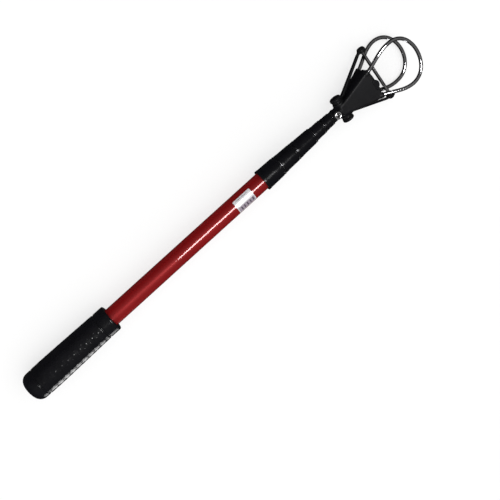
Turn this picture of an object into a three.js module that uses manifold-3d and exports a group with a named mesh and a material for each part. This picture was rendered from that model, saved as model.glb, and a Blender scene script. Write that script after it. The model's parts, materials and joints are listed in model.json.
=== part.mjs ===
// Telescopic golf ball retriever, collapsed: a grip and five sections that slide out of a red outer
// tube, and a head of two wire loops with a free-swinging gate bar that lets a ball in and not out.
// Millimetres. +X runs from the butt of the grip to the tips of the loops, +Z up, origin at the butt.
import * as THREE from "three";
import { ConvexGeometry } from "three/addons/geometries/ConvexGeometry.js";
import { mergeVertices } from "three/addons/utils/BufferGeometryUtils.js";
import Module from "manifold-3d";

const { PI, sin, cos } = Math;
const wasm = await Module();
wasm.setup();

// ---------- driving dimensions ----------
const FIT = 0.3; // clearance between pieces that touch in the real object
const SLIDE = 0.2; // radial clearance of a bush or a collar on its tube

// The telescope, from the outer section to the inner one.
const SECTIONS = [
  { outer: 19.0, bore: 17.4, start: 5, end: 321.6 },
  { outer: 16.4, bore: 14.8, start: 20, end: 345 },
  { outer: 13.8, bore: 12.2, start: 34, end: 367.6 },
  { outer: 11.2, bore: 9.6, start: 48, end: 385.5 },
  { outer: 8.8, bore: 7.4, start: 62, end: 398 },
  { outer: 6.6, bore: 4.2, start: 76, end: 415 },
];
// Each collar closes the end of one section: its ends along X and its diameter at each of them.
const COLLARS = [
  { from: 309.0, to: 333.0, rear: 23.5, front: 21.8 },
  { from: 333.6, to: 354.6, rear: 21.1, front: 19.5 },
  { from: 355.2, to: 378.6, rear: 19.2, front: 17.2 },
  { from: 379.2, to: 392.3, rear: 15.6, front: 15.0 },
  { from: 392.9, to: 403.9, rear: 14.1, front: 13.5 },
];

const GRIP_LENGTH = 106.8;
const GRIP_BUTT_RADIUS = 15.3;
const GRIP_SWELL_RADIUS = 15.55; // the grip is thickest a little ahead of the butt
const GRIP_SWELL_X = 29;
const GRIP_MOUTH_RADIUS = 14.45;
const GRIP_EDGE = 8.5; // rounding of the butt
const GRIP_WALL = 4.2; // thickness of the closed end
const PLUG_RADIUS = 7.6;

const LABEL_FROM = 271;
const LABEL_LENGTH = 21.9;
const LABEL_SPAN = 1.56; // radians round the tube
const LABEL_THICK = 0.25;

// The head.
const PIVOT_X = 419; // axis of the gate, along Y
const FACE_X = 458.6; // front face of the head body
const NECK_FROM = 404.5;
const NECK_RADIUS = 6.1;
const BOSS_RADIUS = 6.2;
const BOSS_HALF = 8.2;
const BODY_HALF_WIDTH = 17.2;
const BODY_HALF_HEIGHT = 12.8;
const BODY_CHAMFER = 2.2;
const TAB_RADIUS = 5;
const PLATE_THICK = 2.2;
const PLATE_HALF_WIDTH = 15.6;
const PLATE_HALF_HEIGHT = 10.5;
const PLATE_CHAMFER = 6.3;
const SCREW_HEAD = 4.6;
const RIVET_X = 410;
const PAD_HEIGHT = 6.6; // flats on the neck under the rivet's two ends

// The wire loops, as distances in front of the head body's face.
const WIRE = 3.9;
const LOOP_REACH = 53.5;
const LOOP_HALF_WIDTH = 25.3;
const LEG_Y = 14.5;
const LEG_Z = 10;
const SIDE_S = 31.7; // where the loop is widest
const SIDE_Z = 16.4;
const TIP_Z = 15.6;
const LEG_DEPTH = 9.5; // length of each leg inside the head body
const LEG_PULL = { ahead: 10.9, out: 3.2, up: 2.4 };    // how the wire leaves the head
const SIDE_PULL = { back: 12.5, down: 1.4, ahead: 15.5 };  // how round the sides are
const TIP_PULL = 11.5;           // how flat the tip is

// The gate.
const GATE_LENGTH = 54.6; // from the pivot to the bar
const GATE_REST = (9.6 * PI) / 180; // the bar lies on the lower loop
const BAR = 3.5;
const HUB_RADIUS = 5.6;
const HUB_FROM = BOSS_HALF + FIT;
const HUB_THICK = 2.2;
const ARM_THICK = 2.3;
// The round eye that holds each end of the bar: its ends along Y and its radius.
const EYES = {
  left: { from: 27.6, to: 31.2, radius: 4.6 },
  right: { from: 26.4, to: 31.2, radius: 3.6 },
};
const KNOB_THICK = 2.8;
const PIN_RADIUS = 1.9;

// ---------- materials ----------
function paint(color, roughness, metalness) {
  return new THREE.MeshStandardMaterial({ color, roughness, metalness });
}
const GRIP_RUBBER = paint(0x141416, 0.55, 0);
const BLACK_GLOSS = paint(0x0d0d0f, 0.25, 0);
const BLACK_SATIN = paint(0x19191b, 0.5, 0);
const RED_METAL = paint(0x7a0d0f, 0.3, 0.7);
const BARE_TUBE = paint(0xb9bcc0, 0.3, 1);
const NYLON = paint(0xe4e2da, 0.6, 0);
const CHROME = paint(0xd8dade, 0.12, 1);
const FOIL = paint(0xdcdde0, 0.4, 0.2);

// ---------- helpers ----------
const v2 = (x, y) => new THREE.Vector2(x, y);
const v3 = (x, y, z) => new THREE.Vector3(x, y, z);

// A turned piece: the profile is [distance along the axis, radius], up the outside and back down the bore.
function turned(profile, sides = 32) {
  const points = profile.map(([along, radius]) => v2(radius, along));
  return new THREE.LatheGeometry(points, sides);
}

// A hollow turned piece, whose profile closes on itself.
const ring = (profile, sides) => turned([...profile, profile[0]], sides);

// A plain sleeve round the axis.
function sleeve(from, to, outer, bore, sides) {
  return ring([[from, bore], [from, outer], [to, outer], [to, bore]], sides);
}

// Points along a quarter circle in the profile's plane.
function arc(centreAlong, centreRadius, radius, fromAngle, toAngle, steps = 6) {
  return Array.from({ length: steps + 1 }, (_, i) => {
    const angle = fromAngle + ((toAngle - fromAngle) * i) / steps;
    return [centreAlong + radius * sin(angle), centreRadius + radius * cos(angle)];
  });
}

function named(name, geometry, material) {
  const mesh = new THREE.Mesh(geometry, material);
  mesh.name = name;
  return mesh;
}

// Turned pieces are made along their own Y, so this lays them along X.
function alongX(mesh, x = 0) {
  mesh.rotation.z = -PI / 2;
  mesh.position.x = x;
  return mesh;
}

// ---------- booleans ----------
function solid(geometry, matrix = new THREE.Matrix4()) {
  const plain = new THREE.BufferGeometry();
  const source = geometry.index ? geometry.toNonIndexed() : geometry;
  plain.setAttribute("position", source.getAttribute("position").clone());
  const merged = mergeVertices(plain.applyMatrix4(matrix), 1e-4);
  return new wasm.Manifold(
    new wasm.Mesh({
      numProp: 3,
      vertProperties: merged.attributes.position.array,
      triVerts: new Uint32Array(merged.index.array),
    }),
  );
}

function geometryOf(manifold) {
  const mesh = manifold.getMesh();
  const geometry = new THREE.BufferGeometry();
  geometry.setAttribute("position", new THREE.BufferAttribute(mesh.vertProperties, 3));
  geometry.setIndex(new THREE.BufferAttribute(mesh.triVerts, 1));
  const flat = geometry.toNonIndexed();
  flat.computeVertexNormals();
  return flat;
}

// A cylinder from one point to another.
function rod(from, to, radius, sides = 24) {
  const axis = to.clone().sub(from);
  const geometry = new THREE.CylinderGeometry(radius, radius, axis.length(), sides);
  const turn = new THREE.Quaternion().setFromUnitVectors(v3(0, 1, 0), axis.clone().normalize());
  const middle = from.clone().add(to).multiplyScalar(0.5);
  return solid(geometry, new THREE.Matrix4().compose(middle, turn, v3(1, 1, 1)));
}

function block(size, centre) {
  return solid(new THREE.BoxGeometry(size.x, size.y, size.z), new THREE.Matrix4().setPosition(centre));
}

// ---------- handle ----------
function grip() {
  const bore = SECTIONS[0].outer / 2 + FIT;
  const seat = PLUG_RADIUS + FIT;
  const edge = arc(GRIP_EDGE, GRIP_BUTT_RADIUS - GRIP_EDGE, GRIP_EDGE, -PI / 2, 0, 8);
  const groove = (x, r) => [[x, r], [x + 0.6, r - 0.7], [x + 1.6, r - 0.7], [x + 2.2, r]];
  const geometry = ring([
    [0, seat],
    ...edge,
    ...groove(13, GRIP_BUTT_RADIUS),
    [GRIP_SWELL_X, GRIP_SWELL_RADIUS],
    ...groove(GRIP_LENGTH - 12, GRIP_MOUTH_RADIUS),
    ...arc(GRIP_LENGTH - 1.5, GRIP_MOUTH_RADIUS - 1.5, 1.5, 0, PI / 2, 3),
    [GRIP_LENGTH, bore],
    [GRIP_WALL, bore],
    [GRIP_WALL, 4.4],
    [2.4, 4.4],
    [2.4, seat],
  ], 36);
  return alongX(named("grip", geometry, GRIP_RUBBER));
}

function buttPlug() {
  const stem = 4.1;
  const geometry = turned([[0, 0], [0, PLUG_RADIUS - 0.5], [0.5, PLUG_RADIUS], [2.1, PLUG_RADIUS],
    [2.1, stem], [9, stem], [10, stem - 1], [10, 0]]);
  return alongX(named("butt_plug", geometry, BLACK_GLOSS));
}

function label() {
  const inner = SECTIONS[0].outer / 2 + 0.12;
  const outer = inner + LABEL_THICK;
  const half = LABEL_SPAN / 2;
  const outline = new THREE.Shape();
  outline.absarc(0, 0, outer, -half, half, false);
  outline.absarc(0, 0, inner, half, -half, true);
  outline.closePath();
  const geometry = new THREE.ExtrudeGeometry(outline, {
    depth: LABEL_LENGTH, bevelEnabled: false, curveSegments: 12,
  });
  const mesh = named("label", geometry, FOIL);
  mesh.rotation.y = PI / 2; // the outline's middle turns from +X to -Z, so the group turns it up
  const turn = new THREE.Group();
  turn.add(mesh);
  turn.rotation.x = PI;
  turn.position.x = LABEL_FROM;
  return turn;
}

function tube(index) {
  const { outer, bore, start, end } = SECTIONS[index];
  const material = index === 0 ? RED_METAL : BARE_TUBE;
  const geometry = sleeve(0, end - start, outer / 2, bore / 2);
  return alongX(named(`tube_${index + 1}`, geometry, material), start);
}

// The last section carries the head, so it has a cross hole for the rivet.
function headTube() {
  const { outer, bore, start, end } = SECTIONS[5];
  const lay = new THREE.Matrix4().makeRotationZ(-PI / 2).setPosition(start, 0, 0);
  const pipe = solid(sleeve(0, end - start, outer / 2, bore / 2), lay);
  const hole = rod(v3(RIVET_X, 0, -outer), v3(RIVET_X, 0, outer), 1.8, 20);
  return named("tube_6", geometryOf(pipe.subtract(hole)), BARE_TUBE);
}

// A collar grips the end of its own tube, and its lip guides the next one.
function collar(index) {
  const { from, to, rear, front } = COLLARS[index];
  const tubeEnd = SECTIONS[index].end + FIT - from;
  const seat = SECTIONS[index].outer / 2 + SLIDE;
  const lip = SECTIONS[index + 1].outer / 2 + SLIDE + 0.1;
  const length = to - from;
  const taper = (x) => (rear + ((front - rear) * x) / length) / 2;
  const geometry = ring([
    [0, seat],
    [0, taper(0) - 0.7],
    [0.7, taper(0.7)],
    [2.8, taper(2.8)],
    [3.2, taper(3.2) - 0.35],
    [length - 1.2, taper(length) - 0.1],
    [length, taper(length) - 0.9],
    [length, lip],
    [tubeEnd, lip],
    [tubeEnd, seat],
  ]);
  return alongX(named(`collar_${index + 1}`, geometry, BLACK_GLOSS), from);
}

// The bush on the inner end of a tube slides in the bore of the tube before it.
function bush(index) {
  const flange = SECTIONS[index - 1].bore / 2 - SLIDE;
  const spigot = SECTIONS[index].bore / 2 - SLIDE;
  const bore = spigot - 1.1;
  const geometry = ring([
    [-7, bore],
    [-7, flange - 0.5],
    [-6.5, flange],
    [-FIT, flange],
    [-FIT, spigot],
    [5, spigot],
    [5, bore],
  ], 24);
  return alongX(named(`bush_${index + 1}`, geometry, NYLON), SECTIONS[index].start);
}

// ---------- head ----------
// The centre line of the upper loop, from its +Y leg round its tip to its -Y leg.
function loopPath() {
  const face = (s, y, z) => v3(FACE_X + s, y, z);
  const legStart = face(0, LEG_Y, LEG_Z);
  const legHandle = face(LEG_PULL.ahead, LEG_Y + LEG_PULL.out, LEG_Z + LEG_PULL.up);
  const sideRear = face(SIDE_S - SIDE_PULL.back, LOOP_HALF_WIDTH, SIDE_Z - SIDE_PULL.down);
  const side = face(SIDE_S, LOOP_HALF_WIDTH, SIDE_Z);
  const sideFront = face(SIDE_S + SIDE_PULL.ahead, LOOP_HALF_WIDTH, SIDE_Z);
  const tipHandle = face(LOOP_REACH, TIP_PULL, TIP_Z);
  const tip = face(LOOP_REACH, 0, TIP_Z);
  const inward = legStart.clone().sub(legHandle).normalize();
  const legEnd = legStart.clone().addScaledVector(inward, LEG_DEPTH);
  const half = [
    new THREE.LineCurve3(legEnd, legStart),
    new THREE.CubicBezierCurve3(legStart, legHandle, sideRear, side),
    new THREE.CubicBezierCurve3(side, sideFront, tipHandle, tip),
  ];
  const steps = [1, 14, 12];
  const points = half.flatMap((curve, i) => curve.getPoints(steps[i]).slice(i === 0 ? 0 : 1));
  const mirrored = points.slice(0, -1).reverse().map((p) => v3(p.x, -p.y, p.z));
  return [...points, ...mirrored];
}

function loop(name, side) {
  const path = new THREE.CatmullRomCurve3(loopPath());
  const section = new THREE.Shape().absarc(0, 0, WIRE / 2, 0, 2 * PI, false);
  const geometry = new THREE.ExtrudeGeometry(section, { extrudePath: path, steps: 52, curveSegments: 6 });
  const mesh = named(name, geometry, CHROME);
  if (side < 0) mesh.rotation.x = PI;
  return mesh;
}

// An eight-sided section of the head body, as points at one X.
function section(x, halfWidth, halfHeight, flatWidth, flatHeight) {
  const signs = [[1, 1], [1, -1], [-1, 1], [-1, -1]];
  return signs.flatMap(([a, b]) => [
    v3(x, a * flatWidth, b * halfHeight),
    v3(x, a * halfWidth, b * flatHeight),
  ]);
}

function headBody() {
  const wedge = solid(new ConvexGeometry([
    ...section(PIVOT_X - 4, 4.6, 6.5, 2.8, 3),
    ...section(FACE_X, BODY_HALF_WIDTH, BODY_HALF_HEIGHT, BODY_HALF_WIDTH - BODY_CHAMFER,
      BODY_HALF_HEIGHT - BODY_CHAMFER),
  ]));
  const neck = rod(v3(NECK_FROM, 0, 0), v3(PIVOT_X, 0, 0), NECK_RADIUS, 32);
  const pads = rod(v3(RIVET_X, 0, -PAD_HEIGHT), v3(RIVET_X, 0, PAD_HEIGHT), 4.6);
  const boss = rod(v3(PIVOT_X, -BOSS_HALF, 0), v3(PIVOT_X, BOSS_HALF, 0), BOSS_RADIUS, 32);
  let body = wedge.add(neck).add(pads).add(boss);

  // A round tab stands over the front plate in the middle of its upper and lower edge.
  const tabX = FACE_X + 3.9 - TAB_RADIUS;
  for (const side of [1, -1]) {
    const low = side * (PLATE_HALF_HEIGHT + FIT);
    const high = side * (BODY_HALF_HEIGHT + 0.5);
    body = body.add(rod(v3(tabX, 0, low), v3(tabX, 0, high), TAB_RADIUS));
  }

  // Bore for the last tube, rivet hole, pivot bore and the pilot hole of the plate's screw.
  const last = SECTIONS[5];
  body = body.subtract(rod(v3(NECK_FROM - 1, 0, 0), v3(last.end + FIT, 0, 0), last.outer / 2 + SLIDE));
  body = body.subtract(rod(v3(RIVET_X, 0, -PAD_HEIGHT - 1), v3(RIVET_X, 0, 0), 1.8, 20));
  body = body.subtract(rod(v3(RIVET_X, 0, 0), v3(RIVET_X, 0, PAD_HEIGHT + 1), 2.7, 24));
  body = body.subtract(rod(v3(PIVOT_X, -20, 0), v3(PIVOT_X, 20, 0), PIN_RADIUS + FIT, 20));
  body = body.subtract(rod(v3(FACE_X - 13, 0, 0), v3(FACE_X + 1, 0, 0), 2.2, 20));

  // Four sockets hold the legs of the loops.
  const path = loopPath();
  const mouth = path[1].clone().addScaledVector(path[1].clone().sub(path[0]).normalize(), 4);
  const foot = path[0].clone().addScaledVector(path[0].clone().sub(path[1]).normalize(), FIT);
  for (const y of [1, -1]) {
    for (const z of [1, -1]) {
      const at = (p) => v3(p.x, y * p.y, z * p.z);
      body = body.subtract(rod(at(foot), at(mouth), WIRE / 2 + 0.15, 16));
    }
  }
  return named("head_body", geometryOf(body), BLACK_SATIN);
}

// The clamp plate: an oblong with cut corners, where the legs of the loops pass.
function frontPlate() {
  const bevel = 0.5;
  const w = PLATE_HALF_HEIGHT - bevel;
  const h = PLATE_HALF_WIDTH - bevel;
  const c = PLATE_CHAMFER - bevel;
  const outline = new THREE.Shape([v2(w, c - h), v2(w, h - c), v2(w - c, h), v2(c - w, h),
    v2(-w, h - c), v2(-w, c - h), v2(c - w, -h), v2(w - c, -h)]);
  outline.holes.push(new THREE.Path().absarc(0, 0, 2.3 + bevel, 0, 2 * PI, true));
  const geometry = new THREE.ExtrudeGeometry(outline, {
    depth: PLATE_THICK - 2 * bevel,
    bevelThickness: bevel,
    bevelSize: bevel,
    bevelSegments: 1,
    curveSegments: 12,
  });
  const mesh = named("front_plate", geometry, BLACK_SATIN);
  mesh.rotation.y = PI / 2;
  mesh.position.x = FACE_X + FIT + bevel;
  return mesh;
}

// A cross recess in the top of a screw head that faces along +X.
function crossRecess(topX, reach, width, depth) {
  const long = block(v3(2 * depth, 2 * reach, width), v3(topX, 0, 0));
  const high = block(v3(2 * depth, width, 2 * reach), v3(topX, 0, 0));
  return long.add(high);
}

function plateScrew() {
  const height = 2.8;
  const under = FACE_X + FIT + PLATE_THICK + FIT;
  const crown = [[0, SCREW_HEAD], [0.9, SCREW_HEAD], [1.8, SCREW_HEAD - 0.6], [2.5, SCREW_HEAD - 1.7],
    [height, SCREW_HEAD - 2.9]];
  const profile = [[-14, 0], [-14, 1.2], [-13, 1.9], [0, 1.9], ...crown, [height, 0]];
  const lay = new THREE.Matrix4().makeRotationZ(-PI / 2).setPosition(under, 0, 0);
  const screw = solid(turned(profile, 24), lay).subtract(crossRecess(under + height, 2.1, 0.9, 1.5));
  return named("plate_screw", geometryOf(screw), CHROME);
}

// The rivet through the neck: a domed head and shank from below, an eyelet from above.
function neckRivet() {
  const under = PAD_HEIGHT + 0.2;
  const dome = arc(0, 0, 3.9, PI / 2, 0, 6).map(([along, radius]) => [-under - along * 0.5, radius]);
  const profile = [...dome, [-under, 1.5], [4.6, 1.5], [5, 1.1], [5, 0]];
  const rivet = named("neck_rivet", turned(profile, 24), CHROME);
  rivet.rotation.x = PI / 2;
  rivet.position.x = RIVET_X;
  return rivet;
}

function neckEyelet() {
  const under = PAD_HEIGHT + 0.2;
  const geometry = ring([[3.8, 1.9], [3.8, 2.4], [under, 2.4], [under, 3.9], [under + 0.6, 3.8],
    [under + 1.1, 3.2], [under + 1.2, 2.5], [under + 0.8, 1.9]], 24);
  const eyelet = named("neck_eyelet", geometry, CHROME);
  eyelet.rotation.x = PI / 2;
  eyelet.position.x = RIVET_X;
  return eyelet;
}

// ---------- gate ----------
function pivotPin() {
  const half = HUB_FROM + HUB_THICK + FIT + 1.6;
  const geometry = turned([[-half, 0], [-half, PIN_RADIUS], [half, PIN_RADIUS], [half, 0]], 24);
  const pin = named("pivot_pin", geometry, CHROME);
  pin.position.x = PIVOT_X;
  return pin;
}

// A round cap on each end of the pin: a raised rim round a sunk middle with a slot.
function knob(name, side) {
  const seat = HUB_FROM + HUB_THICK + FIT;
  const rim = BOSS_RADIUS;
  const profile = [[seat, PIN_RADIUS + 0.2], [seat, rim - 0.3], [seat + 0.3, rim],
    [seat + KNOB_THICK - 0.9, rim], [seat + KNOB_THICK - 0.2, rim - 0.7], [seat + KNOB_THICK, rim - 1.4],
    [seat + KNOB_THICK, 3.9], [seat + KNOB_THICK - 0.7, 3.7], [seat + KNOB_THICK - 0.7, 0],
    [seat + 1.9, 0], [seat + 1.9, PIN_RADIUS + 0.2]];
  const cap = solid(ring(profile, 28));
  const slot = block(v3(5.4, 1.2, 1.3), v3(0, seat + KNOB_THICK - 0.6, 0));
  const mesh = named(name, geometryOf(cap.subtract(slot)), BLACK_SATIN);
  if (side < 0) mesh.rotation.z = PI;
  mesh.position.x = PIVOT_X;
  return mesh;
}

// An arm runs from its hub on the pin out to the eye that holds the bar.
function gateArm(name, side, eyeSize) {
  const hub = rod(v3(0, HUB_FROM, 0), v3(0, HUB_FROM + HUB_THICK, 0), HUB_RADIUS, 28);
  const eye = rod(v3(GATE_LENGTH, eyeSize.from, 0), v3(GATE_LENGTH, eyeSize.to, 0), eyeSize.radius, 24);
  const middle = HUB_FROM + HUB_THICK / 2;
  const edge = (x, y, thick, high) => [1, -1].flatMap((a) => [1, -1].map((b) =>
    v3(x, y + (a * thick) / 2, (b * high) / 2)));
  const knee = edge(BOSS_RADIUS + 2, middle, HUB_THICK, 4.8);
  const elbow = edge(GATE_LENGTH - 6, 28.7, ARM_THICK, 3.8);
  const stretches = [
    [...edge(3.4, middle, HUB_THICK, 5.6), ...knee],
    [...knee, ...elbow],
    [...elbow, ...edge(GATE_LENGTH - 2.4, 29.3, ARM_THICK, 3.6)],
  ];
  const bore = rod(v3(0, 0, 0), v3(0, 40, 0), PIN_RADIUS + 0.2, 20);
  const seat = rod(v3(GATE_LENGTH, 0, 0), v3(GATE_LENGTH, 40, 0), BAR / 2 + 0.2, 20);
  const blades = stretches.map((points) => solid(new ConvexGeometry(points)));
  const arm = blades.reduce((whole, blade) => whole.add(blade), hub.add(eye)).subtract(bore).subtract(seat);
  const mesh = named(name, geometryOf(arm), BLACK_SATIN);
  if (side < 0) mesh.rotation.x = PI;
  return mesh;
}

function gateBar() {
  const from = -EYES.right.to;
  const to = EYES.left.to;
  const radius = BAR / 2;
  const geometry = turned([[from, 0], [from, radius - 0.3], [from + 0.3, radius], [to, radius], [to, 0]], 28);
  const bar = named("gate_bar", geometry, CHROME);
  bar.position.x = GATE_LENGTH;
  return bar;
}

// A low domed cap closes each eye over the end of the bar.
function barCap(name, side, eyeSize) {
  const from = eyeSize.to + FIT;
  const radius = eyeSize.radius - 0.7;
  const geometry = turned([[from, 0], [from, radius], [from + 0.5, radius - 0.2], [from + 0.9, radius - 1],
    [from + 1.1, 0]], 24);
  const cap = named(name, geometry, BLACK_SATIN);
  if (side < 0) cap.rotation.z = PI;
  cap.position.x = GATE_LENGTH;
  return cap;
}

// ---------- assembly ----------
function handle() {
  const group = new THREE.Group();
  group.add(grip(), buttPlug(), tube(0), label());
  return group;
}

function telescope() {
  const group = new THREE.Group();
  for (let i = 0; i < COLLARS.length; i += 1) group.add(collar(i));
  for (let i = 1; i < SECTIONS.length; i += 1) group.add(i < 5 ? tube(i) : headTube(), bush(i));
  return group;
}

function head() {
  const group = new THREE.Group();
  group.add(headBody(), frontPlate(), plateScrew(), neckRivet(), neckEyelet());
  group.add(loop("loop_upper", 1), loop("loop_lower", -1));
  group.add(pivotPin(), knob("knob_left", 1), knob("knob_right", -1));
  return group;
}

function gate() {
  const group = new THREE.Group();
  group.add(gateArm("gate_arm_left", 1, EYES.left), gateArm("gate_arm_right", -1, EYES.right), gateBar());
  group.add(barCap("bar_cap_left", 1, EYES.left), barCap("bar_cap_right", -1, EYES.right));
  group.position.x = PIVOT_X;
  group.rotation.y = GATE_REST;
  return group;
}

const retriever = new THREE.Group();
retriever.add(handle(), telescope(), head(), gate());

export default retriever;
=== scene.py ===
import json
import math

import bmesh
import bpy
import numpy as np
from mathutils import Matrix, Vector


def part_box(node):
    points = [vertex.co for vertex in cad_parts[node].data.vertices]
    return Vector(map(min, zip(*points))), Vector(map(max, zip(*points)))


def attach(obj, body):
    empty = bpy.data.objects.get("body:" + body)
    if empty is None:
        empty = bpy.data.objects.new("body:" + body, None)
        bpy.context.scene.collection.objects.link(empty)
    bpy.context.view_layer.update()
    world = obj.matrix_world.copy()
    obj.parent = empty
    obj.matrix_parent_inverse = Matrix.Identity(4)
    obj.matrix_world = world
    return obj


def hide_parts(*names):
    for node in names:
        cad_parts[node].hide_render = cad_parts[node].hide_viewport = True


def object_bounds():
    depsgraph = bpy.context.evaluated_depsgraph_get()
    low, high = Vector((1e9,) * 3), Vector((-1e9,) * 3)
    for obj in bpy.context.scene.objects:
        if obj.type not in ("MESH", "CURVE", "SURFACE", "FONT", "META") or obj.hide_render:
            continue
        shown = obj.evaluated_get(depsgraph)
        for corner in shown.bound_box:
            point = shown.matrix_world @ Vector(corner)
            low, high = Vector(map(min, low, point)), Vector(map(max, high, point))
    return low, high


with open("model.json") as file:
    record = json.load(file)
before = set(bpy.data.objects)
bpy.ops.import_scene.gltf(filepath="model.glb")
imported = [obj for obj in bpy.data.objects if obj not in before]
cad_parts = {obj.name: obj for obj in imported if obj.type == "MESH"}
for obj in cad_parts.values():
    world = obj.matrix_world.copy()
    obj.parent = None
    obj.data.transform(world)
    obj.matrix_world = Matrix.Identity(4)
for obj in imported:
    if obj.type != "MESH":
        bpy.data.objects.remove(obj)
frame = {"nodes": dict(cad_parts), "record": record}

cad_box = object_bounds()
MM = 0.001

# ---------- driving dimensions ----------
BORES = [17.4, 14.8, 12.2, 9.6, 7.4, 4.2]  # of the six tubes, outer to inner
COLLAR_FRONTS = [21.8, 19.5, 17.2, 15.0, 13.5]  # diameter of each collar at its front end
SLIDE = 0.2  # gap between pieces that slide
FIT = 0.3  # gap between pieces that don't
GRIP_BUTT, GRIP_SWELL, GRIP_MOUTH = 15.3, 15.55, 14.45  # radii of the grip along its length
GRIP_SWELL_X = 29.0  # where the grip is thickest
GRIP_EDGE = 8.5  # how round its butt is
PIVOT_X = 419.0
FACE_X = 458.6  # front of the head's wedge
NECK_FROM = 404.5
NECK_RADIUS = 6.1
NECK_BORE = 3.5  # radius, for the last tube
BOSS_RADIUS = 6.2
BOSS_HALF = 8.2
WEDGE_FROM = PIVOT_X - 4
WEDGE_START = (4.6, 6.5)  # half width and half height where the wedge begins
WEDGE_FACE = (17.2, 12.8)  # the same at the front face
TAB_RADIUS = 5.0
TAB_X = FACE_X + 3.9 - TAB_RADIUS
RIVET_X = 410.0
PAD_HEIGHT = 6.6  # half height of the neck's two pads, where the rivet passes
WIRE = 3.9
LOOP_REACH, LOOP_HALF_WIDTH = 53.5, 25.3
SIDE_AHEAD, SIDE_Z, TIP_Z = 31.7, 16.4, 15.6  # where a loop is widest, and the height of its tip
SIDE_BACK, SIDE_DOWN, SIDE_ON = 12.5, 1.4, 15.5  # handles of the curves that meet at the side
TIP_HANDLE = 11.5
LEG_START = np.array([FACE_X, 14.5, 10.0])
LEG_HANDLE = np.array([FACE_X + 10.9, 17.7, 12.4])
LEG_DEPTH = 9.5
GATE_LENGTH = 54.6
GATE_REST = math.radians(9.6)
BAR = 3.5
EYE_LEFT, EYE_RIGHT, EYE_OUT = 27.6, 26.4, 31.2  # inner faces of the gate's two eyes, and their outer face
HUB_FROM = BOSS_HALF + FIT
HUB_THICK = 2.2
PIN_RADIUS = 1.9
KNOB_FROM = HUB_FROM + HUB_THICK + FIT
KNOB_THICK = 2.8
LABEL_SPAN = 1.56  # radians round the tube
LABEL_THICK = 0.25
SHARP = 32.0  # degrees, from which an edge is shaded sharp

body_of = {node: body for body, nodes in frame["record"]["behaviour"]["bodies"].items() for node in nodes}


def box_mm(node):
    low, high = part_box(node)
    return np.array(low) / MM, np.array(high) / MM


# ---------- meshes ----------
def mesh_object(name, points, faces, sharp_angle=SHARP):
    """A mesh object from points in millimetres, smooth shaded apart from its sharp edges."""
    mesh = bpy.data.meshes.new(name)
    mesh.from_pydata((np.asarray(points, float) * MM).tolist(), [], [list(map(int, f)) for f in faces])
    mesh.validate()
    mesh.shade_smooth()
    mesh.set_sharp_from_angle(angle=math.radians(sharp_angle))
    piece = bpy.data.objects.new(name, mesh)
    bpy.context.scene.collection.objects.link(piece)
    return piece


def face_out(piece, merge=False):
    """Turns every face outwards; merge first joins the points that fall on each other."""
    bm = bmesh.new()
    bm.from_mesh(piece.data)
    if merge:
        bmesh.ops.remove_doubles(bm, verts=bm.verts, dist=1e-7)
        bmesh.ops.dissolve_degenerate(bm, edges=bm.edges, dist=1e-8)
    bmesh.ops.recalc_face_normals(bm, faces=bm.faces)
    bm.to_mesh(piece.data)
    bm.free()


def mark_edges(piece, strength):
    """Stores how sharply the surface turns outwards at each point; the materials lighten these rims, partly
    as handling wear and partly as a painted highlight.
    """
    bm = bmesh.new()
    bm.from_mesh(piece.data)
    wear_and_highlight = np.zeros(len(bm.verts))
    count = np.zeros(len(bm.verts))
    for edge in bm.edges:
        if len(edge.link_faces) != 2:
            continue
        width = sum(f.calc_area() for f in edge.link_faces) / 2 / max(edge.calc_length(), 1e-9) / MM
        turn = edge.calc_face_angle_signed(0.0) / max(width, 0.05)
        for v in edge.verts:
            wear_and_highlight[v.index] += turn
            count[v.index] += 1
    bm.free()
    wear_and_highlight = np.clip(wear_and_highlight / np.maximum(count, 1) * strength, 0, 1)
    attribute = piece.data.attributes.new("wear_and_highlight", "FLOAT", "POINT")
    attribute.data.foreach_set("value", wear_and_highlight.astype(np.float32))
    return piece


def rounded(profile, closed, steps=5):
    """Turns each corner given as (along, radius, rounding) into a short curve."""
    points = [np.array(p[:2], float) for p in profile]
    out = []
    for i, (point, corner) in enumerate(zip(points, profile)):
        size = corner[2] if len(corner) > 2 else 0
        if size <= 0 or (not closed and i in (0, len(points) - 1)):
            out.append(point)
            continue
        back, on = points[i - 1] - point, points[(i + 1) % len(points)] - point
        back_length, on_length = np.linalg.norm(back), np.linalg.norm(on)
        back, on = back / back_length, on / on_length
        half = math.acos(np.clip(back @ on, -1, 1)) / 2
        cut = min(size / math.tan(half), 0.48 * back_length, 0.48 * on_length)
        before, after = point + back * cut, point + on * cut
        for t in np.linspace(0, 1, steps):
            out.append((1 - t) ** 2 * before + 2 * t * (1 - t) * point + t ** 2 * after)
    return np.array(out)


def turned(name, profile, sides=96, hollow=False, axis="X", at=(0, 0, 0), flip=False):
    """A turned piece. The profile runs up the outside and, if the piece is hollow, back down the bore."""
    line = rounded(profile, hollow)
    angles = np.arange(sides) * 2 * math.pi / sides
    circle = np.column_stack([np.cos(angles), np.sin(angles)])
    rings = [np.column_stack([np.full(sides, along), radius * circle]) for along, radius in line]
    points = np.concatenate(rings)
    faces, count = [], len(line)
    for i in range(count if hollow else count - 1):
        a, b = i * sides, ((i + 1) % count) * sides
        for j in range(sides):
            k = (j + 1) % sides
            faces.append((a + j, b + j, b + k, a + k))
    if flip:
        points[:, 0] *= -1
        faces = [f[::-1] for f in faces]
    order = {"X": (0, 1, 2), "Y": (2, 0, 1), "Z": (1, 2, 0)}[axis]
    points = points[:, order] + np.array(at)
    piece = mesh_object(name, points, [f[::-1] for f in faces])
    face_out(piece, merge=True)
    piece.data.shade_smooth()
    piece.data.set_sharp_from_angle(angle=math.radians(SHARP))
    return piece


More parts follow.
